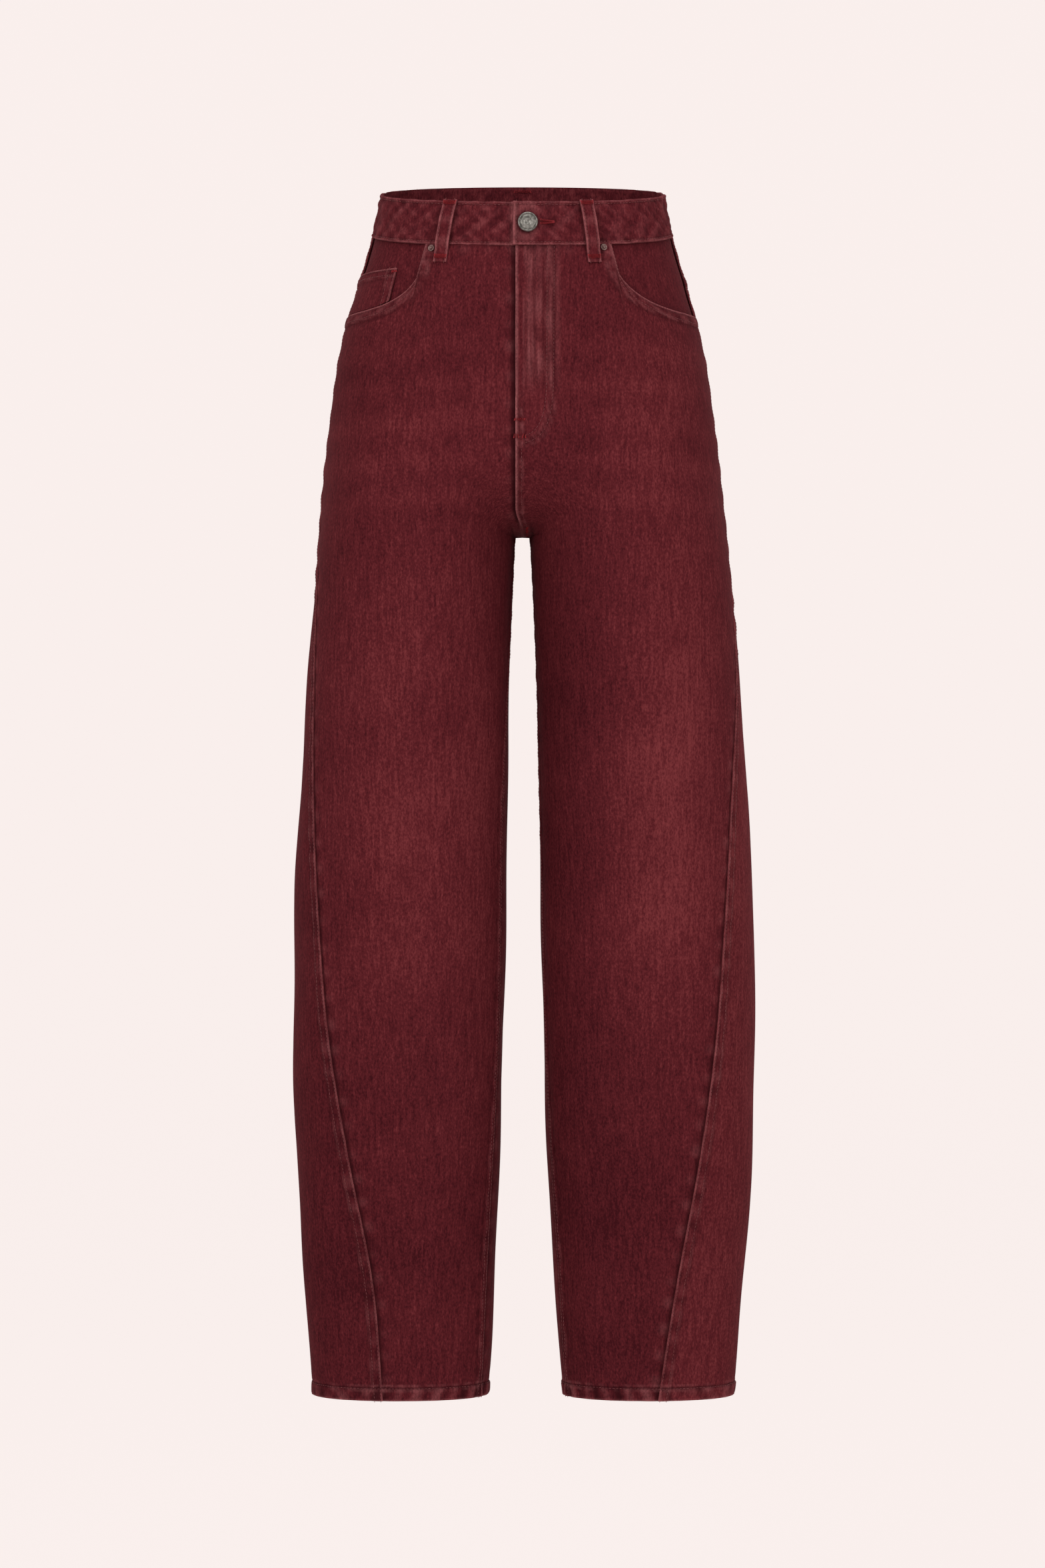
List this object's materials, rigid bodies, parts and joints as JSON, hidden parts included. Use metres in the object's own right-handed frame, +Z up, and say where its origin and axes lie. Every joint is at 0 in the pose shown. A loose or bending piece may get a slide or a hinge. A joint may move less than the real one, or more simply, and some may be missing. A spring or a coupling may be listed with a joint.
{
  "type": "high-waisted barrel-leg jeans",
  "caption": "High-waisted barrel-leg jeans, filled out hollow as worn, with a buttoned waistband, scoop front pockets, coin pocket, patch back pockets and belt loops.",
  "frame": {"origin": "middle of the waist opening, level with the side of its rim, where a wearer holds the garment up", "axes": "+Z up, the front faces -Y, the wearer's left is +X"},
  "size_m": [0.3989, 0.2352, 1.0536],
  "materials": {
    "denim": "washed burgundy twill, matt, faded on thighs, knees and seam ridges",
    "aged_metal": "antiqued grey button metal with a dimpled face",
    "rivet_metal": "antiqued copper-coloured rivet metal"
  },
  "bodies": {
    "root": {"waistband": "denim", "front_panel_right": "denim", "back_panel_right": "denim", "back_yoke_right": "denim", "pocket_facing_right": "denim", "back_pocket_right": "denim", "front_panel_left": "denim", "back_panel_left": "denim", "back_yoke_left": "denim", "pocket_facing_left": "denim", "back_pocket_left": "denim", "coin_pocket": "denim", "belt_loop_front_right": "denim", "belt_loop_front_left": "denim", "belt_loop_side_right": "denim", "belt_loop_side_left": "denim", "belt_loop_middle_back": "denim", "shank_button": "aged_metal", "rivet_right": "rivet_metal", "rivet_left": "rivet_metal"}
  },
  "joints": []
}
